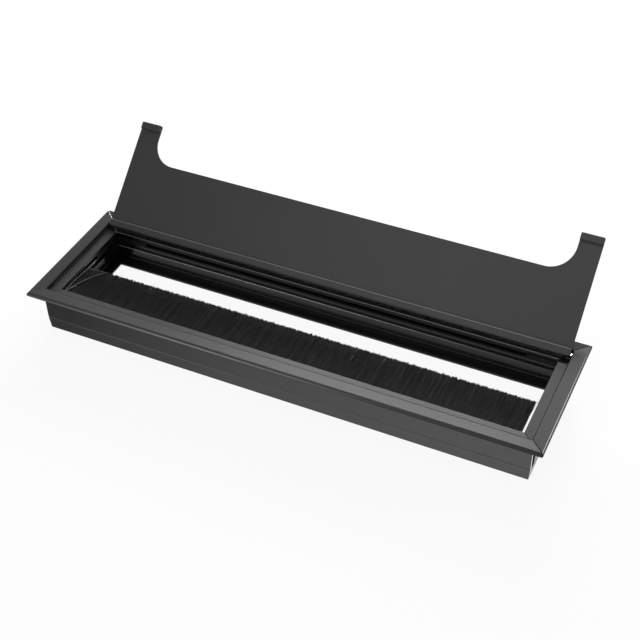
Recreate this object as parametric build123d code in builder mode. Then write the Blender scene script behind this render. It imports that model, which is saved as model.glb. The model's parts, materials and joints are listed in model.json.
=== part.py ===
"""Flip-lid cable grommet for a desk top, in millimetres.

Four mitred rails, cut from one extrusion, make a rectangular frame that hangs in a cut-out in the desk.
A lid with a wide cable notch turns on two pins at the rear, and a brush behind the front rail closes the
notch around the cables. The origin is at the middle of the cut-out, on the desk's surface, with +Z up,
X along the frame and the hinge at +Y. The lid stands open against the rear rail.
"""

import os
from math import cos, radians, sin

from build123d import *

# Frame, seen from above
frame_length = 280.0
frame_width = 80.0
mitre_gap = 0.3
tight_mitre_gap = 0.06

# Flange that lies on the desk
flange_thickness = 2.2
flange_edge_chamfer = 0.9
rebate_inset = 7.4
rebate_edge_chamfer = 0.5

# Lid and its seat in the rebate
lid_thickness = 3.0
lid_plate_thickness = 1.5
lid_seat_gap = 0.2
lid_left_gap = 0.3
lid_right_gap = 0.8
lid_front_gap = 2.3
lid_lip_width = 3.7
lid_edge_round = 0.35
lid_corner_radius = 0.6
lid_open_angle = 138.0
lid_stop_gap = 0.25
ear_width = 12.1
notch_depth = 20.9
notch_radius = 13.2

# Hinge
hinge_bar_reach = 3.0
hinge_pin_radius = 0.7
hinge_pin_in_rail = 5.0
hinge_pin_in_lid = 8.0
hinge_pin_chamfer = 0.2
pin_running_clearance = 0.05
pin_press_clearance = 0.01
pin_end_clearance = 0.3

# Ledge that carries the lid, with the brush slot under it
ledge_width = 5.4
ledge_thickness = 1.0
slot_height = 2.6
slot_nib_height = 0.5
slot_nib_width = 0.6
slot_lip_thickness = 1.5
slot_lip_reach = 2.1

# Skirt that goes down into the cut-out
skirt_inset = 6.2
skirt_wall = 1.5
skirt_depth = 24.5
skirt_taper = 0.5
skirt_taper_height = 6.9
skirt_groove_depth = 0.3
skirt_groove_height = 0.7
foot_thickness = 1.0
skirt_corner_gap = 5.3
foot_band_height = 6.0
foot_corner_gap = 0.3
neck_corner_gap = 0.3
lip_corner_gap = 0.3

# Channel for the corner keys under the slot, and two stiffening ribs below it
channel_height = 3.7
channel_undercut = 0.4
rib_reach = 1.2
rib_thickness = 0.8
upper_rib_height = 10.7
lower_rib_height = 4.5

# Corner keys and their set screws
key_clearance = 0.12
key_thickness = 2.4
key_apron_thickness = 1.2
key_apron_overlap = 1.0
key_apron_foot_gap = 1.3
key_leg_length = 22.0
key_screw_radius = 1.2
key_screw_place = 14.0
key_screw_chamfer = 0.25
key_screw_clearance = 0.02
key_socket_width = 1.3
key_socket_depth = 1.0

# Brush
brush_right_gap = 1.3
brush_left_tuck = 0.6
brush_back_wall = 0.5
brush_back_clearance = 0.15
bristle_thickness = 1.0
bristle_end_gap = 0.3
bristle_reach = 23.7

# Places that follow from the sizes above
half_length = frame_length / 2
half_width = frame_width / 2
up = Vector(0, 0, 1)

ledge_top = flange_thickness - lid_thickness - lid_seat_gap
ledge_edge = rebate_inset + ledge_width
slot_top = ledge_top - ledge_thickness
slot_bottom = slot_top - slot_height
slot_middle = (slot_top + slot_bottom) / 2
wall_inside = skirt_inset + skirt_wall
lip_edge = wall_inside + slot_lip_reach
taper_top = skirt_taper_height - skirt_depth
foot_band_inset = skirt_taper * (1 - foot_band_height / skirt_taper_height)

channel_top = slot_bottom - slot_lip_thickness
channel_bottom = channel_top - channel_height
rib_edge = wall_inside + rib_reach

# The pin runs in the middle of the flange's thickness. Its place along Y lets the open lid lean back until
# its outer face meets the chamfered edge of the rear rebate.
pin_depth = flange_thickness / 2
pin_height = flange_thickness - pin_depth
lean = radians(180 - lid_open_angle)
stop_distance = (pin_depth * (1 + cos(lean)) + lid_stop_gap) / sin(lean)
pin_y = half_width - rebate_inset + rebate_edge_chamfer - stop_distance

os.makedirs("parts", exist_ok=True)


def finish(piece, name):
    """Names a finished piece and writes it."""
    piece.label = name
    export_step(piece, f"parts/{name}.step")


def flange_outline():
    """Section of the flange, the rebate and the ledge, as inset from the outer edge and height."""
    return [
        (0, 0),
        (0, flange_thickness - flange_edge_chamfer),
        (flange_edge_chamfer, flange_thickness),
        (rebate_inset - rebate_edge_chamfer, flange_thickness),
        (rebate_inset, flange_thickness - rebate_edge_chamfer),
        (rebate_inset, ledge_top),
        (ledge_edge, ledge_top),
        (ledge_edge, slot_top - slot_nib_height),
        (ledge_edge - slot_nib_width, slot_top - slot_nib_height),
        (ledge_edge - slot_nib_width, slot_top),
        (skirt_inset, slot_top),
        (skirt_inset, 0),
    ]


def outer_face():
    """Outer face of the skirt from its foot up to the flange, with the groove above the taper."""
    return [
        (skirt_inset + skirt_taper, -skirt_depth),
        (skirt_inset, taper_top),
        (skirt_inset + skirt_groove_depth, taper_top + skirt_groove_height / 2),
        (skirt_inset, taper_top + skirt_groove_height),
        (skirt_inset, 0),
    ]


def rib_points(height):
    """A small rib on the skirt's inner face, from its top down."""
    return [
        (wall_inside, height),
        (rib_edge, height),
        (rib_edge, height - rib_thickness),
        (wall_inside, height - rib_thickness),
    ]


def skirt_outline():
    """Section of the skirt with the slot's lip, the key channel and the ribs."""
    return [
        (wall_inside, 0),
        (wall_inside, slot_bottom),
        (lip_edge, slot_bottom),
        (lip_edge, channel_top),
        (wall_inside, channel_top),
        (wall_inside, channel_bottom),
        (rib_edge, channel_bottom + channel_undercut),
        (rib_edge, channel_bottom - rib_thickness),
        (wall_inside, channel_bottom - rib_thickness),
        *rib_points(upper_rib_height - skirt_depth),
        *rib_points(lower_rib_height - skirt_depth),
        (wall_inside, -skirt_depth),
        *outer_face(),
    ]


def make_rail(middle, inward, half, long_side, start_gap, end_gap):
    """One rail. Its outer edge runs through middle, inward points to the frame's inside, half is half its length.

    The flange and the ledge are mitred, with a gap at each end. Below them the ends are cut square: the walls of
    the long rails run on to the outer faces of the short ones. The short skirts stop well behind the long walls,
    apart from a band at their foot, so that the frame also fits a cut-out with round corners.
    """
    along = inward.cross(up)
    section_plane = Plane(origin=middle, x_dir=inward, z_dir=along)
    plan_plane = Plane(origin=middle, x_dir=along, z_dir=up)
    front_plane = Plane(origin=middle, x_dir=along, z_dir=-inward)
    mitre_start = start_gap / 2**0.5 - half
    mitre_end = half - end_gap / 2**0.5
    mitre_reach = ledge_edge + ledge_width
    neck_end = half - wall_inside - neck_corner_gap
    band_end = half - wall_inside - foot_corner_gap
    if long_side:
        foot_end = band_end
        wall_end = half - skirt_inset
        lip_end = half - wall_inside - key_clearance - key_apron_thickness - lip_corner_gap
    else:
        foot_end = half - ledge_edge - foot_corner_gap
        wall_end = half - wall_inside - skirt_corner_gap
        lip_end = wall_end - key_apron_overlap

    with BuildPart() as rail:
        with BuildSketch(section_plane):
            with BuildLine():
                Polyline(*flange_outline(), close=True)
            make_face()
        extrude(amount=half, both=True)
        with BuildSketch(plan_plane):
            with BuildLine():
                Polyline(
                    (mitre_start, 0),
                    (mitre_end, 0),
                    (mitre_end - mitre_reach, mitre_reach),
                    (mitre_start + mitre_reach, mitre_reach),
                    close=True,
                )
            make_face()
        extrude(amount=skirt_depth, both=True, mode=Mode.INTERSECT)
        if not long_side:
            for side in (-1, 1):
                with BuildSketch(section_plane.offset(side * neck_end)):
                    with BuildLine():
                        Polyline(
                            (0, 0),
                            (wall_inside, 0),
                            (wall_inside, -skirt_depth),
                            (0, -skirt_depth),
                            close=True,
                        )
                    make_face()
                extrude(amount=side * (half - neck_end), mode=Mode.SUBTRACT)
        with BuildSketch(section_plane):
            with BuildLine():
                Polyline(*skirt_outline(), close=True)
            make_face()
        extrude(amount=lip_end, both=True)
        with BuildSketch(section_plane):
            with BuildLine():
                Polyline((wall_inside, 0), (wall_inside, -skirt_depth), *outer_face(), close=True)
            make_face()
        extrude(amount=wall_end, both=True)
        with BuildSketch(section_plane):
            with BuildLine():
                Polyline(
                    (skirt_inset + skirt_taper, -skirt_depth),
                    (ledge_edge, -skirt_depth),
                    (ledge_edge, foot_thickness - skirt_depth),
                    (wall_inside, foot_thickness - skirt_depth),
                    close=True,
                )
            make_face()
        extrude(amount=foot_end, both=True)
        if long_side:
            for side in (-1, 1):
                with BuildSketch(front_plane):
                    with BuildLine():
                        Polyline(
                            (side * wall_end, taper_top),
                            (side * wall_end, -skirt_depth),
                            (side * (wall_end - skirt_taper), -skirt_depth),
                            close=True,
                        )
                    make_face()
                extrude(amount=-wall_inside, mode=Mode.SUBTRACT)
        else:
            with BuildSketch(section_plane):
                with BuildLine():
                    Polyline(
                        (wall_inside, foot_band_height - skirt_depth),
                        (wall_inside, -skirt_depth),
                        (skirt_inset + skirt_taper, -skirt_depth),
                        (skirt_inset + foot_band_inset, foot_band_height - skirt_depth),
                        close=True,
                    )
                make_face()
            extrude(amount=band_end, both=True)
            hole_plane = Plane(
                origin=middle + inward * rebate_inset + Vector(0, pin_y, pin_height),
                x_dir=up,
                z_dir=-inward,
            )
            with BuildSketch(hole_plane):
                Circle(hinge_pin_radius + pin_press_clearance)
            extrude(amount=hinge_pin_in_rail + pin_end_clearance, mode=Mode.SUBTRACT)
    return rail.part


# The four rails. The mitre at the front left is tight and the others stand a little open.
rails = {
    "front_rail": (Vector(0, -half_width, 0), Vector(0, 1, 0), half_length, True, tight_mitre_gap, mitre_gap),
    "rear_rail": (Vector(0, half_width, 0), Vector(0, -1, 0), half_length, True, mitre_gap, mitre_gap),
    "left_rail": (Vector(-half_length, 0, 0), Vector(1, 0, 0), half_width, False, mitre_gap, tight_mitre_gap),
    "right_rail": (Vector(half_length, 0, 0), Vector(-1, 0, 0), half_width, False, mitre_gap, mitre_gap),
}
for rail_name, rail_place in rails.items():
    finish(make_rail(*rail_place), rail_name)

# Lid: one extruded section with a hinge bar at the rear and a lip at the front, drawn in its open place.
# In the section X runs from the pin to the front edge and Y to the outer face.
open_turn = radians(lid_open_angle)
lid_left = rebate_inset + lid_left_gap - half_length
lid_right = half_length - rebate_inset - lid_right_gap
lid_middle = (lid_left + lid_right) / 2
lid_half = (lid_right - lid_left) / 2
lid_plane = Plane(
    origin=(lid_middle, pin_y, pin_height),
    x_dir=(0, -cos(open_turn), sin(open_turn)),
    z_dir=(-1, 0, 0),
)
lid_tip = pin_y + half_width - rebate_inset - lid_front_gap
bar_bottom = pin_depth - lid_thickness
plate_bottom = pin_depth - lid_plate_thickness
nose_low = bar_bottom + pin_depth
round_step = lid_edge_round * (1 - 0.5**0.5)

with BuildPart() as lid:
    with BuildSketch(lid_plane):
        with BuildLine():
            RadiusArc((0, pin_depth), (-pin_depth, 0), -pin_depth)
            Line((-pin_depth, 0), (-pin_depth, nose_low))
            RadiusArc((-pin_depth, nose_low), (0, bar_bottom), -pin_depth)
            Line((0, bar_bottom), (hinge_bar_reach - lid_edge_round, bar_bottom))
            ThreePointArc(
                (hinge_bar_reach - lid_edge_round, bar_bottom),
                (hinge_bar_reach - round_step, bar_bottom + round_step),
                (hinge_bar_reach, bar_bottom + lid_edge_round),
            )
            Polyline(
                (hinge_bar_reach, bar_bottom + lid_edge_round),
                (hinge_bar_reach, plate_bottom),
                (lid_tip - lid_lip_width, plate_bottom),
                (lid_tip - lid_lip_width, bar_bottom),
                (lid_tip - lid_edge_round, bar_bottom),
            )
            ThreePointArc(
                (lid_tip - lid_edge_round, bar_bottom),
                (lid_tip - round_step, bar_bottom + round_step),
                (lid_tip, bar_bottom + lid_edge_round),
            )
            Line((lid_tip, bar_bottom + lid_edge_round), (lid_tip, pin_depth - lid_edge_round))
            ThreePointArc(
                (lid_tip, pin_depth - lid_edge_round),
                (lid_tip - round_step, pin_depth - round_step),
                (lid_tip - lid_edge_round, pin_depth),
            )
            Line((lid_tip - lid_edge_round, pin_depth), (0, pin_depth))
        make_face()
    extrude(amount=lid_half, both=True)
    # The cable notch, cut through the front edge, with round inner corners
    face_plane = Plane(origin=lid_plane.origin, x_dir=(1, 0, 0), z_dir=-lid_plane.y_dir)
    notch_half = lid_half - ear_width
    notch_edge = lid_tip - notch_depth
    with BuildSketch(face_plane):
        with BuildLine():
            Line((-notch_half, lid_tip + lid_lip_width), (-notch_half, notch_edge + notch_radius))
            RadiusArc((-notch_half, notch_edge + notch_radius), (notch_radius - notch_half, notch_edge), -notch_radius)
            Line((notch_radius - notch_half, notch_edge), (notch_half - notch_radius, notch_edge))
            RadiusArc((notch_half - notch_radius, notch_edge), (notch_half, notch_edge + notch_radius), -notch_radius)
            Line((notch_half, notch_edge + notch_radius), (notch_half, lid_tip + lid_lip_width))
            Line((notch_half, lid_tip + lid_lip_width), (-notch_half, lid_tip + lid_lip_width))
        make_face()
    extrude(amount=lid_thickness, both=True, mode=Mode.SUBTRACT)
    # A bore in each end for the hinge pins
    for side in (-1, 1):
        bore_start = (lid_middle + side * lid_half, pin_y, pin_height)
        with BuildSketch(Plane(origin=bore_start, z_dir=(-side, 0, 0))):
            Circle(hinge_pin_radius + pin_running_clearance)
        extrude(amount=hinge_pin_in_lid + pin_end_clearance, mode=Mode.SUBTRACT)
    # Small rounds on the corners of the two ears
    ear_corners = lid.edges().filter_by(lambda edge: abs(edge.tangent_at(0.5).dot(lid_plane.y_dir)) > 0.99)
    ear_corners = ear_corners.filter_by(
        lambda edge: abs(lid_plane.to_local_coords(edge.center()).X - lid_tip) < lid_edge_round
    )
    fillet(ear_corners, lid_corner_radius)
finish(lid.part, "lid")

# Hinge pins, pressed into the end rails and running in the lid
for side, side_name, lid_gap in ((-1, "left", lid_left_gap), (1, "right", lid_right_gap)):
    pin_start = half_length - rebate_inset + hinge_pin_in_rail
    pin_length = hinge_pin_in_rail + lid_gap + hinge_pin_in_lid
    with BuildPart() as hinge_pin:
        with BuildSketch(Plane(origin=(side * pin_start, pin_y, pin_height), z_dir=(-side, 0, 0))):
            Circle(hinge_pin_radius)
        extrude(amount=pin_length)
        chamfer(hinge_pin.edges().filter_by(GeomType.CIRCLE), hinge_pin_chamfer)
    finish(hinge_pin.part, f"hinge_pin_{side_name}")

# Corner keys: L-shaped pieces in the channels of two rails, held by the undercut rib and locked by
# a set screw in each leg. An apron hangs down from the corner and closes the gap beside the short skirt.
key_top = channel_top - key_clearance
key_outline = [
    (key_clearance, key_top),
    (key_thickness, key_top),
    (key_thickness, channel_bottom + channel_undercut + key_clearance),
    (rib_reach, channel_bottom + channel_undercut + key_clearance),
    (key_clearance, channel_bottom + key_clearance),
]
screw_height = (key_top + channel_bottom + channel_undercut + key_clearance) / 2
screw_length = key_thickness - key_clearance
corners = {
    "front_left": (-1, -1),
    "front_right": (1, -1),
    "rear_left": (-1, 1),
    "rear_right": (1, 1),
}
for corner_name, (side_x, side_y) in corners.items():
    corner = Vector(side_x * (half_length - wall_inside), side_y * (half_width - wall_inside), 0)
    legs = {
        "long": (Vector(0, -side_y, 0), Vector(-side_x, 0, 0)),
        "short": (Vector(-side_x, 0, 0), Vector(0, -side_y, 0)),
    }
    with BuildPart() as key:
        for inward, run in legs.values():
            flip = 1 if inward.cross(up).dot(run) > 0 else -1
            leg_plane = Plane(origin=corner + run * key_clearance, x_dir=inward, z_dir=run)
            with BuildSketch(leg_plane):
                with BuildLine():
                    Polyline(*[(inset, flip * height) for inset, height in key_outline], close=True)
                make_face()
            extrude(amount=key_leg_length)
        apron_inward, apron_run = legs["short"]
        apron_height = key_top + skirt_depth - key_apron_foot_gap
        apron_middle = corner + apron_inward * (key_clearance + key_apron_thickness / 2)
        apron_middle += up * (key_top - apron_height / 2) + apron_run * key_clearance
        with BuildSketch(Plane(origin=apron_middle, x_dir=apron_inward, z_dir=apron_run)):
            Rectangle(key_apron_thickness, apron_height)
        extrude(amount=skirt_corner_gap + key_apron_overlap - 2 * key_clearance)
        for inward, run in legs.values():
            screw_place = corner + run * key_screw_place + up * screw_height
            with BuildSketch(Plane(origin=screw_place, x_dir=up, z_dir=inward)):
                Circle(key_screw_radius + key_screw_clearance)
            extrude(amount=key_thickness, mode=Mode.SUBTRACT)
    finish(key.part, f"corner_key_{corner_name}")

    for leg_name, (inward, run) in legs.items():
        screw_place = corner + run * key_screw_place + up * screw_height
        screw_plane = Plane(origin=screw_place, x_dir=up, z_dir=inward)
        with BuildPart() as key_screw:
            with BuildSketch(screw_plane.offset(key_clearance / 2)):
                Circle(key_screw_radius)
            extrude(amount=screw_length)
            chamfer(key_screw.edges().filter_by(GeomType.CIRCLE), key_screw_chamfer)
            with BuildSketch(screw_plane.offset(key_clearance / 2 + screw_length)):
                RegularPolygon(key_socket_width / 2, 6, major_radius=False)
            extrude(amount=-key_socket_depth, mode=Mode.SUBTRACT)
        finish(key_screw.part, f"key_screw_{corner_name}_{leg_name}")

# Brush: a folded backing strip in the front rail's slot, with the bristles clamped in it. It is pushed to the
# left, so its left end is tucked under the left ledge and its right end leaves a gap.
brush_right = half_length - ledge_edge - brush_right_gap
brush_left = ledge_edge - brush_left_tuck - half_length
brush_middle = (brush_left + brush_right) / 2
brush_half = (brush_right - brush_left) / 2
brush_plane = Plane(origin=(brush_middle, -half_width, slot_middle), x_dir=(0, 1, 0), z_dir=(1, 0, 0))
back_half_height = slot_height / 2 - brush_back_clearance
back_start = wall_inside + brush_back_clearance
back_end = ledge_edge - slot_nib_width - brush_back_clearance
fold_half_height = back_half_height - brush_back_wall

with BuildPart() as brush_backing:
    with BuildSketch(brush_plane):
        with BuildLine():
            Polyline(
                (back_start, back_half_height),
                (back_end, back_half_height),
                (back_end, fold_half_height),
                (back_start + brush_back_wall, fold_half_height),
                (back_start + brush_back_wall, -fold_half_height),
                (back_end, -fold_half_height),
                (back_end, -back_half_height),
                (back_start, -back_half_height),
                close=True,
            )
        make_face()
    extrude(amount=brush_half, both=True)
finish(brush_backing.part, "brush_backing")

bristle_root = back_start + brush_back_wall + brush_back_clearance
bristle_tip = ledge_edge + bristle_reach
with BuildPart() as bristles:
    with BuildSketch(brush_plane):
        with BuildLine():
            Polyline(
                (bristle_root, bristle_thickness / 2),
                (bristle_tip, bristle_thickness / 2),
                (bristle_tip, -bristle_thickness / 2),
                (bristle_root, -bristle_thickness / 2),
                close=True,
            )
        make_face()
    extrude(amount=brush_half - bristle_end_gap, both=True)
finish(bristles.part, "bristles")
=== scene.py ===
import json
import math

import bpy
import numpy as np
from mathutils import Euler, Matrix, Vector


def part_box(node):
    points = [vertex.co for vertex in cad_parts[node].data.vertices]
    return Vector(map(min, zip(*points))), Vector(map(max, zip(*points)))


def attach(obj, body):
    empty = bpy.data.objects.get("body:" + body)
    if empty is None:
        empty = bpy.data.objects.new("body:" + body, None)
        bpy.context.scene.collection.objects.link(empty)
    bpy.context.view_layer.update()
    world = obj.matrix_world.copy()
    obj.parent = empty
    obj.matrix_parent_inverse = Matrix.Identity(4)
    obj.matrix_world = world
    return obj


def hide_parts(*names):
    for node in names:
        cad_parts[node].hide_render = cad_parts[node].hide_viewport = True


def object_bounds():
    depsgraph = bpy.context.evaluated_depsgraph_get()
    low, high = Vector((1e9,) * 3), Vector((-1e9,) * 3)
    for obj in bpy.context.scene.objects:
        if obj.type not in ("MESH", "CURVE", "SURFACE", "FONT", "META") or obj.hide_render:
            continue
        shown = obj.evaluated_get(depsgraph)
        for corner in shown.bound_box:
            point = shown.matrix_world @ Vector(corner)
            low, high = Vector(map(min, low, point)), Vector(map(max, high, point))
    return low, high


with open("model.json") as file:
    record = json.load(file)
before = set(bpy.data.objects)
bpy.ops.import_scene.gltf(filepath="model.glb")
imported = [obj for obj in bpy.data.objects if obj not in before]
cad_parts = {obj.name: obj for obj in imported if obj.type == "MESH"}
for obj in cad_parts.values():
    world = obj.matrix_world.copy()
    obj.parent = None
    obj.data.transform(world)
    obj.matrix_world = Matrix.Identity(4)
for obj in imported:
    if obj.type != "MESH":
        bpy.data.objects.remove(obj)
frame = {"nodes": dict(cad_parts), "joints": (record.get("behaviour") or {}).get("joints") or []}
nodes = frame["nodes"]
cad_low, cad_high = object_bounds()
scene = bpy.context.scene

# The rails: four lengths of one aluminium extrusion with a thin satin black coat, mitred at the corners.
# The die leaves fine lines along each length, the edges are slightly worn, and the saw cuts at the skirt's
# ends show the bare metal. One mitre was filed to fit after the coating and shows a bright line.
# The outer faces of the four rails, in front and behind along Y, at the left and the right along X
front_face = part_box("front_rail")[0][1]
rear_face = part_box("rear_rail")[1][1]
left_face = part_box("left_rail")[0][0]
right_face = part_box("right_rail")[1][0]
coat_tone = 0.009
dark_coat_tone = coat_tone * 0.85
light_coat_tone = coat_tone * 1.15
worn_edge_tone = coat_tone * 2.5
coat_roughness_spread = 0.04
coat_edge_radius = 0.00025
dark_sawn_tone = 0.55
light_sawn_tone = 0.98
torn_strip_start = right_face - 0.0066
torn_strip_ragged = 0.0008
filed_line_half = 0.00025
filed_line_length = 0.008
filed_line_low = 0.0008


def fill(node, inputs):
    """Sets the inputs of a node: a socket is linked, a plain value is written."""
    for socket, value in inputs.items():
        if isinstance(value, bpy.types.NodeSocket):
            node.id_data.links.new(value, node.inputs[socket])
        else:
            node.inputs[socket].default_value = value


def adder(tree):
    """A short way to add a node to a tree, with its settings and its inputs."""

    def add(kind, inputs, **settings):
        node = tree.nodes.new(kind)
        for setting, value in settings.items():
            setattr(node, setting, value)
        fill(node, inputs)
        return node

    return add


def new_finish(name):
    """An empty finish: the material, its shader, and the way to add nodes to it."""
    finish = bpy.data.materials.new(name)
    finish.use_nodes = True
    tree = finish.node_tree
    return finish, tree.nodes["Principled BSDF"], adder(tree)


def put_on(node_name, finish):
    """Gives a CAD node its finish."""
    slots = nodes[node_name].data.materials
    slots.clear()
    slots.append(finish)


def grey(tone):
    """A neutral black or grey with a trace of blue, as the coat has."""
    return (tone, tone, tone * 1.02, 1)


def maths(add, operation, *values):
    """The result of one step of arithmetic."""
    return add("ShaderNodeMath", dict(enumerate(values)), operation=operation).outputs[0]


def reach_along(add, first, second):
    """How far one vector reaches along another."""
    inputs = {0: first, 1: second}
    return add("ShaderNodeVectorMath", inputs, operation="DOT_PRODUCT").outputs["Value"]


def noise(add, spot, scale, detail, **others):
    """The grey pattern of an even noise."""
    inputs = {"Vector": spot, "Scale": scale, "Detail": detail, **others}
    return add("ShaderNodeTexNoise", inputs).outputs["Fac"]


def drawn_noise(add, spot, scales, detail):
    """The grey pattern of a noise that is drawn out along an axis."""
    drawn = add("ShaderNodeMapping", {"Vector": spot, "Scale": scales}).outputs["Vector"]
    return noise(add, drawn, scale=1.0, detail=detail)


def axis_scales(along, lengthways, across, upright):
    """The scales of a noise on a piece that lies along X or along Y."""
    return (lengthways, across, upright) if along == "X" else (across, lengthways, upright)


def rise(add, value, start, end):
    """0 up to the start, 1 from the end on, and even in between."""
    return add("ShaderNodeMapRange", {"Value": value, "From Min": start, "From Max": end}).outputs["Result"]


def spread(add, pattern, low, high):
    """A grey pattern made to lie between two values."""
    return add("ShaderNodeMapRange", {"Value": pattern, "To Min": low, "To Max": high}).outputs["Result"]


def blend(add, amount, first, second, kind="RGBA"):
    """A mixture of two colours, or of two plain values where the kind is FLOAT."""
    inputs = {"Factor": amount, "A": first, "B": second}
    return add("ShaderNodeMix", inputs, data_type=kind).outputs["Result"]


def relief(add, pattern, strength, depth, **under):
    """Normals that follow a grey pattern as a height, on top of the normals under it if there are any."""
    inputs = {"Height": pattern, "Strength": strength, "Distance": depth, **under}
    return add("ShaderNodeBump", inputs).outputs["Normal"]


def marked(add, spot, line):
    """Marks a line on the coat: 1 within all its limits, fading out along X on both sides of its middle."""
    limits, middle, half_length = line
    full_share = 0.15
    lengthways = add("ShaderNodeSeparateXYZ", {"Vector": spot}).outputs["X"]
    away = maths(add, "ABSOLUTE", maths(add, "SUBTRACT", lengthways, middle))
    amount = rise(add, away, half_length, half_length * full_share)
    for direction, place, reach in limits:
        inside = maths(add, "COMPARE", reach_along(add, spot, direction), place, reach)
        amount = maths(add, "MULTIPLY", amount, inside)
    return amount


def bare_places(add, spot, flat, along, scratches):
    """1 where the metal is bare: on the ends that were sawn square, and on the mitre that was filed."""
    square_limit = 0.9
    end_amount = maths(add, "ABSOLUTE", add("ShaderNodeSeparateXYZ", {"Vector": flat}).outputs[along])
    square_cut = maths(add, "GREATER_THAN", end_amount, square_limit)
    # The saw tore the coat off in a ragged strip along the skirt's outer skin
    parts = add("ShaderNodeSeparateXYZ", {"Vector": spot}).outputs
    out_from_middle = maths(add, "ABSOLUTE", parts["X"])
    ragged = maths(add, "MULTIPLY_ADD", scratches, torn_strip_ragged, out_from_middle)
    at_skin = maths(add, "GREATER_THAN", ragged, torn_strip_start)
    torn = maths(add, "MULTIPLY", square_cut, at_skin)
    # The filed mitre at the rear left, where X and Y add up to the same length all along it
    mitre_place = maths(add, "ADD", parts["X"], parts["Y"])
    near_mitre = maths(add, "COMPARE", mitre_place, left_face + rear_face, filed_line_half)
    at_left = maths(add, "LESS_THAN", parts["X"], left_face + filed_line_length)
    on_flange = maths(add, "GREATER_THAN", parts["Z"], filed_line_low)
    filed = maths(add, "MULTIPLY", maths(add, "MULTIPLY", near_mitre, at_left), on_flange)
    return maths(add, "MAXIMUM", torn, filed)


def black_coat(name, along, roughness, cut_ends=True, painted_light_lines=(), dull=(), painted_shade_lines=()):
    """Satin black on an extrusion whose die lines run along one axis, with painted highlights along some
    lines, painted shade along others, and some lines duller.
    """
    coat, shader, add = new_finish(name)
    spot = add("ShaderNodeTexCoord", {}).outputs["Object"]
    flat = add("ShaderNodeNewGeometry", {}).outputs["True Normal"]
    die_scales = axis_scales(along, lengthways=3.0, across=2600.0, upright=2600.0)
    die_lines = drawn_noise(add, spot, die_scales, detail=4.0)
    pores = noise(add, spot, scale=6500.0, detail=2.0)
    clouds = noise(add, spot, scale=45.0, detail=4.0, Roughness=0.6)
    scratches = noise(add, spot, scale=900.0, detail=3.0)
    colour = blend(add, clouds, grey(dark_coat_tone), grey(light_coat_tone))
    # Edges: the rounded normal leaves the flat one, and there the coat is a little thinner
    rounded = add("ShaderNodeBevel", {"Radius": coat_edge_radius}, samples=8).outputs["Normal"]
    edge = rise(add, reach_along(add, rounded, flat), start=0.985, end=0.86)
    worn = maths(add, "MULTIPLY", edge, scratches)
    colour = blend(add, worn, colour, grey(worn_edge_tone))
    # Painted light and shade: the coat's colour made lighter or darker along the given lines
    for line, line_tone in painted_light_lines:
        colour = blend(add, marked(add, spot, line), colour, grey(line_tone))
    rough = spread(add, clouds, roughness - coat_roughness_spread, roughness + coat_roughness_spread)
    for line, line_roughness in dull:
        rough = blend(add, marked(add, spot, line), rough, line_roughness, "FLOAT")
    # Painted shade: along these lines the coat turns to a black metal that mirrors little, so they render
    # darker
    metal = 0.0
    for line in painted_shade_lines:
        metal = maths(add, "MAXIMUM", metal, marked(add, spot, line))
    if cut_ends:
        bare = bare_places(add, spot, flat, along, scratches)
        saw_scales = axis_scales(along, lengthways=1.0, across=2500.0, upright=120.0)
        saw_marks = drawn_noise(add, spot, saw_scales, detail=5.0)
        sawn = blend(add, saw_marks, grey(dark_sawn_tone), grey(light_sawn_tone))
        colour = blend(add, bare, colour, sawn)
        metal = maths(add, "MAXIMUM", metal, bare)
    lined = relief(add, die_lines, strength=0.10, depth=0.0001, Normal=rounded)
    fill(
        shader,
        {
            "Base Color": colour,
            "Roughness": rough,
            "Metallic": metal,
            "Specular IOR Level": 0.4,
            "Normal": relief(add, pores, strength=0.08, depth=0.00005, Normal=lined),
            "Anisotropic": 0.75,
            "Anisotropic Rotation": 0.25,
            "Tangent": add("ShaderNodeCombineXYZ", {along: 1.0}).outputs["Vector"],
        },
    )
    return coat


def band(direction, place, reach, height, height_reach):
    """The limits of a band on a rail: its place in a direction and its height, with the reach of each."""
    return [(direction, place, reach), ((0, 0, 1), height, height_reach)]


across_long = (0, 1, 0)
across_short = (1, 0, 0)
across_mitre = (1, -1, 0)
groove_inset = 0.0064
rib_inset = 0.0089
ledge_inset = 0.0128
# The middle and the half length of a line that doesn't fade
all_along = (0.0, 10.0)

# The front rail has painted light on its skirt, lighter towards the right, and painted shade at the skirt's
# left end and at the right of the flange's edge. A painted highlight lies high on that edge towards the left,
# and another low in the groove, with painted shade along the groove's upper side. It is dull on the inner
# edge, where the lid closes on it.
skirt = band(across_long, front_face + 0.0065, 0.0004, -0.0125, 0.0125)
flange_edge = band(across_long, front_face + 0.0003, 0.0006, 0.0010, 0.0012)
flange_edge_top = band(across_long, front_face, 0.0001, 0.0009, 0.0005)
groove_top = band(across_long, front_face + groove_inset, 0.0003, -0.0171, 0.0003)
groove_bottom = band(across_long, front_face + groove_inset, 0.0003, -0.01745, 0.0002)
inner_edge = band(across_long, front_face + 0.0070, 0.0005, 0.0020, 0.0005)
front_rail_coat = black_coat(
    "front_rail_coat",
    "X",
    roughness=0.42,
    # Painted light on the skirt and painted highlights on the flange's edge and low in the groove; painted
    # shade along the groove's upper side
    painted_light_lines=[
        ((skirt, 0.14, 0.26), 0.08),
        ((flange_edge_top, -0.044, 0.105), 0.2),
        ((groove_top, *all_along), 0.005),
        ((groove_bottom, -0.04, 0.16), 0.1),
    ],
    dull=[((inner_edge, *all_along), 1.0)],
    # Painted shade at the skirt's left end and at the right of the flange's edge
    painted_shade_lines=[(skirt, -0.2, 0.18), (flange_edge, 0.3, 0.28)],
)
put_on("front_rail", front_rail_coat)
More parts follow.
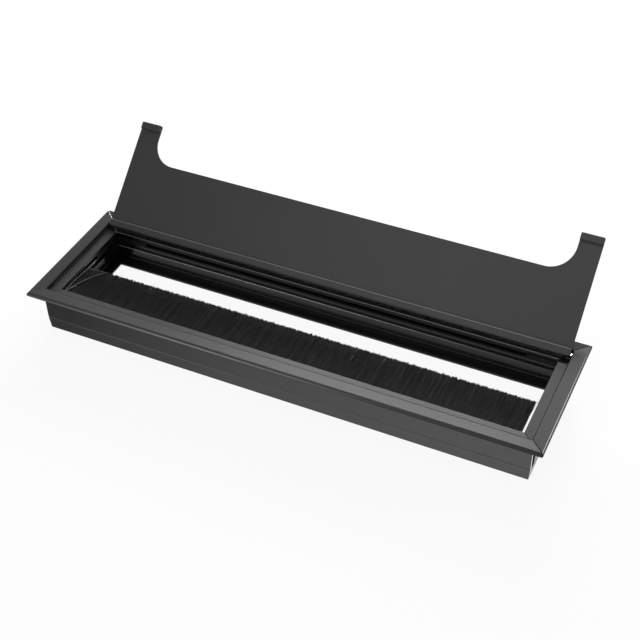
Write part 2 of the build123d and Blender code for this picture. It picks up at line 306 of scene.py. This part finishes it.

# The rear rail has painted highlights along its upper rib and its ledge's edge, and is dull on its flange.
# Painted shade lies on the edges of the slot and in the key channel.
rear_flange = band(across_long, rear_face - 0.0035, 0.0040, 0.0021, 0.0005)
ledge_edge = band(across_long, rear_face - ledge_inset, 0.0001, -0.0012, 0.00025)
slot_nib = band(across_long, rear_face - ledge_inset, 0.0001, -0.0021, 0.0005)
slot_lip = band(across_long, rear_face - 0.0098, 0.0002, -0.00535, 0.0009)
channel_wall = band(across_long, rear_face - 0.0077, 0.0003, -0.00795, 0.0019)
channel_rib = band(across_long, rear_face - rib_inset, 0.0002, -0.0100, 0.0007)
upper_rib = band(across_long, rear_face - rib_inset, 0.0002, -0.01395, 0.0003)
rear_rail_coat = black_coat(
    "rear_rail_coat",
    "X",
    roughness=0.27,
    # Painted highlights along the upper rib and the ledge's edge
    painted_light_lines=[((upper_rib, -0.035, 0.17), 0.7), ((ledge_edge, 0.07, 0.4), 0.15)],
    dull=[((rear_flange, *all_along), 0.85)],
    # Painted shade on the slot's nib and lip, and in the key channel
    painted_shade_lines=[(dark_band, *all_along) for dark_band in (slot_nib, slot_lip, channel_wall, channel_rib)],
)
put_on("rear_rail", rear_rail_coat)

# The short rails are dull in places: the left one on its ledge, the right one at its rear mitre and low on
# its chamfer
left_ledge = band(across_short, left_face + 0.0101, 0.0028, -0.0010, 0.0003)
rear_right_mitre = band(across_mitre, right_face - rear_face, 0.0006, 0.0021, 0.0006)
chamfer_foot = band(across_short, right_face - 0.0002, 0.0003, 0.00145, 0.0003)
short_rail_coat = black_coat(
    "short_rail_coat",
    "Y",
    roughness=0.22,
    dull=[
        ((left_ledge, *all_along), 0.55),
        ((rear_right_mitre, *all_along), 1.0),
        ((chamfer_foot, *all_along), 0.9),
    ],
)
put_on("left_rail", short_rail_coat)
put_on("right_rail", short_rail_coat)

# The corner keys: four die-cast aluminium angles in the channels of two rails each, dipped in black. An apron
# on each closes the open corner of the skirt. They keep the slightly grainy skin of a casting.
key_edge_radius = 0.0002
dark_key_tone = 0.003
light_key_tone = 0.007
corner_names = ("front_left", "front_right", "rear_left", "rear_right")


def dipped_casting(name):
    """Dull black casting with soft blotches and a fine skin."""
    dipped, shader, add = new_finish(name)
    spot = add("ShaderNodeTexCoord", {}).outputs["Object"]
    blotches = noise(add, spot, scale=260.0, detail=4.0)
    skin = add("ShaderNodeTexVoronoi", {"Vector": spot, "Scale": 4200.0}).outputs["Distance"]
    rounded = add("ShaderNodeBevel", {"Radius": key_edge_radius}, samples=4).outputs["Normal"]
    fill(
        shader,
        {
            "Base Color": blend(add, blotches, grey(dark_key_tone), grey(light_key_tone)),
            "Roughness": spread(add, blotches, low=0.4, high=0.55),
            "Specular IOR Level": 0.1,
            "Normal": relief(add, skin, strength=0.15, depth=0.0001, Normal=rounded),
        },
    )
    return dipped


key_coat = dipped_casting("key_coat")
for corner_name in corner_names:
    put_on("corner_key_" + corner_name, key_coat)

# The set screws: short black oxide steel screws with a hexagon socket, turned on a lathe. One sits in each
# leg of each corner key and holds it fast in its rail.
screw_look = {"dark_tone": 0.03, "light_tone": 0.06, "roughness": 0.45}


def turned_steel(name, along, dark_tone, light_tone, roughness):
    """Turned or drawn steel with fine rings and a little uneven colour."""
    steel, shader, add = new_finish(name)
    spot = add("ShaderNodeTexCoord", {}).outputs["Object"]
    ring_scales = axis_scales(along, lengthways=9000.0, across=60.0, upright=60.0)
    rings = drawn_noise(add, spot, ring_scales, detail=3.0)
    blotches = noise(add, spot, scale=700.0, detail=3.0)
    fill(
        shader,
        {
            "Base Color": blend(add, blotches, grey(dark_tone), grey(light_tone)),
            "Roughness": spread(add, rings, low=roughness - 0.06, high=roughness + 0.08),
            "Metallic": 1.0,
            "Normal": relief(add, rings, strength=0.12, depth=0.00005),
        },
    )
    return steel


screw_steel_long = turned_steel("screw_steel_long", "Y", **screw_look)
screw_steel_short = turned_steel("screw_steel_short", "X", **screw_look)
for corner_name in corner_names:
    put_on("key_screw_" + corner_name + "_long", screw_steel_long)
    put_on("key_screw_" + corner_name + "_short", screw_steel_short)

# The brush backing: a strip of thin mill-finish aluminium, folded around the bristles' roots. It is slid into
# the slot under the front rail's ledge.


def rolled_strip(name):
    """Aluminium strip with rolling lines along X."""
    strip, shader, add = new_finish(name)
    spot = add("ShaderNodeTexCoord", {}).outputs["Object"]
    roll_scales = axis_scales("X", lengthways=6.0, across=3000.0, upright=3000.0)
    roll_lines = drawn_noise(add, spot, roll_scales, detail=3.0)
    dark_tone = 0.3
    light_tone = 0.5
    fill(
        shader,
        {
            "Base Color": blend(add, roll_lines, grey(dark_tone), grey(light_tone)),
            "Roughness": spread(add, roll_lines, low=0.35, high=0.5),
            "Metallic": 1.0,
            "Normal": relief(add, roll_lines, strength=0.1, depth=0.0001),
        },
    )
    return strip


put_on("brush_backing", rolled_strip("brush_strip"))

# The bristles: thousands of loose black nylon fibres, clamped at their roots in the backing and cut off along
# a line near the middle of the opening. They stand in small tufts, so the cut line is a little uneven.
bristle_low, bristle_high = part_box("bristles")
fibre_layers = 5
fibres_in_layer = 1300
fibre_rings = 5
upper_fibre_radius = 0.0001
lower_fibre_radius = 0.00016
# The height in the brush, from -1 to 1, from which the fibres lie loose
upper_start = 0.4
layer_shift = 0.37
root_scatter = 0.00003
root_length_spread = 0.0006
root_half_height = 0.00038
tip_half_height = 0.00042
tip_drop = 0.0001
tip_height_scatter = 0.00006
tip_setback = 0.0003
tip_scatter = 0.0003
tuft_waves = (0.0052, 0.0031, 0.0023, 0.0017)
tuft_length = 0.0004
tuft_height = 0.0002
tuft_hump = 0.0001
lean_waves = (0.019, 0.0087, 0.0061)
tuft_lean = 0.00035
upper_lean = 0.0003
lower_lean = 0.00005
lean_curve = 1.3
upper_bow = 0.00016
lower_bow = 0.00003
bent_end_length = 0.006
bent_end_lean = 0.0016
right_end_overhang = 0.0001
draw = np.random.default_rng(20)


def slow_wave(places, wave_lengths):
    """A smooth random wave along the brush, between about -1 and 1."""
    total = np.zeros_like(places)
    for wave_length in wave_lengths:
        total += np.sin(places / wave_length * 2 * math.pi + draw.uniform(0, 2 * math.pi))
    return total / len(wave_lengths)


def bounded_normal(count):
    """Normally spread numbers, with the far ones drawn in to 2."""
    return np.clip(draw.normal(0, 1, count), -2, 2)


# Each layer is a row of fibres side by side, a part of a fibre further along than the layer below it
fibre_step = (bristle_high[0] - bristle_low[0]) / fibres_in_layer
layer, place = np.divmod(np.arange(fibre_layers * fibres_in_layer), fibres_in_layer)
fibre_count = len(layer)
root_x = bristle_low[0] + (place + layer_shift * layer % 1.0) * fibre_step
root_x += draw.normal(0, root_scatter, fibre_count)
height = layer / (fibre_layers - 1) * 2 - 1
middle_z = (bristle_low[2] + bristle_high[2]) / 2
tuft = slow_wave(root_x, tuft_waves)
# The tufts lean together, and the upper fibres lean a little on their own
lean = tuft_lean * slow_wave(root_x, lean_waves)
is_upper = height > upper_start
lean += bounded_normal(fibre_count) * np.where(is_upper, upper_lean, lower_lean)
# The fibres at the left end were bent inwards when the strip was pushed under the left ledge
lean += bent_end_lean * np.clip((bristle_low[0] + bent_end_length - root_x) / bent_end_length, 0, 1)
lean = np.minimum(lean, bristle_high[0] + right_end_overhang - root_x)
tip_y = bristle_high[1] - tip_setback + tuft_length * tuft + draw.normal(0, tip_scatter, fibre_count)
tip_z = middle_z - tip_drop + height * tip_half_height + tuft_height * tuft
tip_z += draw.normal(0, tip_height_scatter, fibre_count)
root_y = bristle_low[1] + draw.uniform(0, root_length_spread, fibre_count)
bow = bounded_normal(fibre_count) * np.where(is_upper, upper_bow, lower_bow)
run = np.linspace(0, 1, fibre_rings)
path_x = root_x[:, None] + lean[:, None] * run**lean_curve + bow[:, None] * np.sin(run * math.pi)
path_y = root_y[:, None] + (tip_y - root_y)[:, None] * run
path_z = (middle_z + height * root_half_height)[:, None] * (1 - run) + tip_z[:, None] * run
path_z += tuft_hump * tuft[:, None] * np.sin(run * math.pi)
paths = np.stack([path_x, path_y, path_z], axis=2)
radii = np.where(is_upper, upper_fibre_radius, lower_fibre_radius)


def fibre_mesh(name, paths, radii):
    """Three-sided fibres with a point at the tip, one for each path."""
    sides = 3
    tip_width_share = 0.75
    point_share = 0.02
    count, rings = paths.shape[:2]
    turn = np.arange(sides) * 2 * math.pi / sides
    # The ring stands across the fibre, whose run is near +Y
    offsets = np.stack([np.cos(turn), np.zeros(sides), np.sin(turn)], axis=1)
    widths = radii[:, None] * np.linspace(1.0, tip_width_share, rings)
    points = paths[:, :, None, :] + offsets[None, None] * widths[:, :, None, None]
    points = points.reshape(count, rings * sides, 3)
    tips = paths[:, -1] + (paths[:, -1] - paths[:, -2]) * point_share
    points = np.concatenate([points, tips[:, None]], axis=1).reshape(-1, 3)
    quads = []
    for ring in range(rings - 1):
        low = ring * sides
        high = low + sides
        for side in range(sides):
            next_side = (side + 1) % sides
            quads.append((low + side, high + side, high + next_side, low + next_side))
    tip = rings * sides
    last = tip - sides
    caps = [(last + side, tip, last + (side + 1) % sides) for side in range(sides)]
    start = np.arange(count)[:, None, None] * (tip + 1)
    quad_faces = (np.array(quads)[None] + start).reshape(-1, 4)
    cap_faces = (np.array(caps)[None] + start).reshape(-1, 3)
    mesh = bpy.data.meshes.new(name)
    mesh.from_pydata(points, [], quad_faces.tolist() + cap_faces.tolist())
    mesh.polygons.foreach_set("use_smooth", np.ones(len(mesh.polygons), dtype=bool))
    mesh.update()
    return mesh


def new_object(name, data):
    """Puts a mesh, a lamp or a camera into the scene."""
    thing = bpy.data.objects.new(name, data)
    scene.collection.objects.link(thing)
    return thing


def black_nylon(name):
    """Dull black fibres of uneven darkness, streaked along their run and darker towards the left end."""
    nylon, shader, add = new_finish(name)
    own_shade = add("ShaderNodeNewGeometry", {}).outputs["Random Per Island"]
    spot = add("ShaderNodeTexCoord", {}).outputs["Object"]
    streak_scales = axis_scales("Y", lengthways=40.0, across=1500.0, upright=900.0)
    streaks = drawn_noise(add, spot, streak_scales, detail=3.0)
    shade = maths(add, "MULTIPLY", own_shade, rise(add, streaks, start=0.38, end=0.68))
    # The fibres turn darker towards the left end
    left_darkening_range = {"From Min": -0.126, "From Max": 0.08, "To Min": 0.35, "To Max": 1.0}
    lengthways = add("ShaderNodeSeparateXYZ", {"Vector": spot}).outputs["X"]
    left_darkening = add("ShaderNodeMapRange", {"Value": lengthways, **left_darkening_range}).outputs["Result"]
    dark_tone = 0.001
    light_fibre_tone = 0.036
    fill(
        shader,
        {
            "Base Color": blend(add, maths(add, "MULTIPLY", shade, left_darkening), grey(dark_tone), grey(light_fibre_tone)),
            "Roughness": spread(add, streaks, low=0.45, high=0.65),
            "Specular IOR Level": 0.12,
            "Normal": relief(add, streaks, strength=0.2, depth=0.00005),
        },
    )
    return nylon


bristles = new_object("brush_fibres", fibre_mesh("brush_fibres", paths, radii))
bristles.data.materials.append(black_nylon("bristle_fibre"))
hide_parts("bristles")
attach(bristles, "frame")

# The loose fibres: a few bristles at the left end, and one at the right, that were pulled out of line when
# the strip was pushed in. They lie across the others, bare to the light, and are a dull grey, paler in
# patches.
loose_fibre_radius = 0.00017
loose_fibre_rings = 12
# Each runs from its root past the point that it bends towards and on to its tip
loose_bends = [
    ((-0.1266, -0.0285, -0.0030), (-0.12555, -0.0132, -0.0019), (-0.1245, 0.0009, -0.0026)),
    ((-0.1270, -0.0285, -0.0030), (-0.1214, -0.01245, -0.0019), (-0.1142, -0.0046, -0.0024)),
    ((-0.1265, -0.0275, -0.0030), (-0.1246, -0.0236, -0.0020), (-0.1227, -0.0204, -0.0024)),
    ((-0.1252, -0.0057, -0.0027), (-0.1189, -0.0046, -0.0021), (-0.1130, -0.0043, -0.0024)),
    ((0.1247, -0.0290, -0.0033), (0.1254, -0.0180, -0.0030), (0.1263, -0.0031, -0.0028)),
]
loose_run = np.linspace(0, 1, loose_fibre_rings)[:, None]
loose_paths = []
for root, bend, tip in np.array(loose_bends):
    rest = 1 - loose_run
    loose_paths.append(root * rest**2 + 2 * bend * loose_run * rest + tip * loose_run**2)
loose_radii = np.full(len(loose_paths), loose_fibre_radius)


def pale_nylon(name):
    """Nylon, grey with paler patches."""
    nylon, shader, add = new_finish(name)
    spot = add("ShaderNodeTexCoord", {}).outputs["Object"]
    pale_patches = noise(add, spot, scale=700.0, detail=3.0)
    dark_tone = 0.03
    pale_tone = 0.28
    fill(
        shader,
        {
            "Base Color": blend(add, pale_patches, grey(dark_tone), grey(pale_tone)),
            "Roughness": 0.45,
            "Normal": relief(add, pale_patches, strength=0.2, depth=0.00005),
        },
    )
    return nylon


loose_fibres = new_object("loose_fibres", fibre_mesh("loose_fibres", np.array(loose_paths), loose_radii))
loose_fibres.data.materials.append(pale_nylon("pale_fibre"))
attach(loose_fibres, "frame")

# The hinge pins: two short lengths of bright drawn steel. Each is pressed into an end rail, and the lid turns
# on its inner end.
pin_steel = turned_steel("pin_steel", "X", dark_tone=0.75, light_tone=0.9, roughness=0.22)
put_on("hinge_pin_left", pin_steel)
put_on("hinge_pin_right", pin_steel)

# The lid: one extruded plate with the same coat as the rails, milled to make the cable notch before it was
# coated, so its cut edges are black too. It turns on the two pins, and a painted highlight lies along its
# hinge bar's edge.
lid_hinge = frame["joints"][0]
lid_hinge_place = Vector(lid_hinge["pos_m"])
# The lid lies flat when closed, so it leans by what its swing lacks to half a turn
lid_lean = math.radians(180 + lid_hinge["range_deg"][0])
lid_up = Vector((0, math.cos(lid_lean), math.sin(lid_lean)))
lid_front = Vector((0, -math.sin(lid_lean), math.cos(lid_lean)))
bar_edge_above_pin = 0.0028
bar_edge_before_pin = 0.0018
bar_edge = [
    (lid_up, lid_up.dot(lid_hinge_place) + bar_edge_above_pin, 0.00025),
    (lid_front, lid_front.dot(lid_hinge_place) + bar_edge_before_pin, 0.0004),
]
# A painted highlight along the hinge bar's edge
lid_coat = black_coat("lid_coat", "X", roughness=0.43, cut_ends=False, painted_light_lines=[((bar_edge, 0.06, 0.4), 0.2)])
put_on("lid", lid_coat)

# The studio: a white table in a white room that fills the shadows. The main lamp stands low behind the
# object, with two weaker ones beside and over it. Four more stand above, at the front left, low at the right
# and low in front.
white = (1, 1, 1, 1)
table_reach = 3
table_gap = 0.0001
table_tone = (0.86, 0.86, 0.86, 1)
table_lift = 0.92
room_strength = 0.2
lamp_distance = 0.9


def seen_rays(add):
    """1 for the rays by which a thing is seen: straight on, in a mirror or through glass."""
    rays = add("ShaderNodeLightPath", {}).outputs
    mirrored = maths(add, "MAXIMUM", rays["Is Camera Ray"], rays["Is Glossy Ray"])
    return maths(add, "MAXIMUM", mirrored, rays["Is Transmission Ray"])


def white_paper(name):
    """Matt white paper that keeps a faint shadow where it is seen."""
    paper, shader, add = new_finish(name)
    fill(shader, {"Base Color": table_tone, "Roughness": 0.9, "Specular IOR Level": 0.0})
    glow = add("ShaderNodeEmission", {"Color": white, "Strength": 1.0}).outputs["Emission"]
    lifted = maths(add, "MULTIPLY", seen_rays(add), table_lift)
    seen = add("ShaderNodeMixShader", {0: lifted, 1: shader.outputs["BSDF"], 2: glow}).outputs["Shader"]
    fill(paper.node_tree.nodes["Material Output"], {"Surface": seen})
    return paper


table_height = cad_low[2] - table_gap
table_turns = ((-1, -1), (1, -1), (1, 1), (-1, 1))
table_corners = [(x * table_reach, y * table_reach, table_height) for x, y in table_turns]
table_mesh = bpy.data.meshes.new("table")
table_mesh.from_pydata(table_corners, [], [(0, 1, 2, 3)])
table_mesh.materials.append(white_paper("table_paper"))
table = new_object("table", table_mesh)

room = bpy.data.worlds.new("room")
scene.world = room
room.use_nodes = True
room.node_tree.nodes.clear()
add_to_room = adder(room.node_tree)
room_fill = add_to_room("ShaderNodeBackground", {"Color": white, "Strength": room_strength}).outputs[0]
room_white = add_to_room("ShaderNodeBackground", {"Color": white, "Strength": 1.0}).outputs[0]
room_mix = add_to_room("ShaderNodeMixShader", {0: seen_rays(add_to_room), 1: room_fill, 2: room_white})
add_to_room("ShaderNodeOutputWorld", {"Surface": room_mix.outputs[0]})


def toward(azimuth, elevation):
    """A direction by its compass angle, counted from the front to the right, and its rise from the table."""
    turn, climb = math.radians(azimuth), math.radians(elevation)
    return Vector((math.sin(turn) * math.cos(climb), -math.cos(turn) * math.cos(climb), math.sin(climb)))


def soft_lamp(name, azimuth, elevation, width, depth, power):
    """A rectangular lamp that hangs in a direction from the object and faces it."""
    lamp_data = bpy.data.lights.new(name, "AREA")
    lamp_data.shape = "RECTANGLE"
    lamp_data.size = width
    lamp_data.size_y = depth
    lamp_data.energy = power
    outward = toward(azimuth, elevation).normalized()
    lamp = new_object(name, lamp_data)
    lamp.location = outward * lamp_distance
    lamp.rotation_euler = outward.to_track_quat("Z", "Y").to_euler()


soft_lamp("lamp_behind", azimuth=189, elevation=22, width=0.5, depth=0.3, power=11.5)
soft_lamp("lamp_behind_left", azimuth=210, elevation=22, width=0.3, depth=0.3, power=1.4)
soft_lamp("lamp_high_behind", azimuth=180, elevation=42, width=0.35, depth=0.35, power=0.6)
soft_lamp("lamp_above", azimuth=0, elevation=88, width=0.4, depth=0.4, power=1.5)
soft_lamp("lamp_front_left", azimuth=331, elevation=50, width=0.35, depth=0.35, power=0.8)
soft_lamp("lamp_low_right", azimuth=124, elevation=9, width=0.25, depth=0.25, power=1.8)
soft_lamp("lamp_low_front", azimuth=2, elevation=4, width=0.4, depth=0.12, power=1.6)

# The view: a long lens that looks down on the open grommet from the front right, as in the photograph.
# Nothing is out of focus, and the colours are shown as they are.
camera_place = Vector((0.22087, -0.43227, 0.42710))
camera_angles = [math.radians(angle) for angle in (48.6826, 0.9997, 25.0607)]
camera_data = bpy.data.cameras.new("photo_camera")
camera_data.lens = 71.613
camera_data.sensor_width = 36.0
camera_data.clip_start = 0.05
camera_data.clip_end = 20.0
camera_data.dof.use_dof = False
camera = new_object("photo_camera", camera_data)
camera.matrix_world = Matrix.LocRotScale(camera_place, Euler(camera_angles), None)
scene.camera = camera
scene.view_settings.view_transform = "Standard"
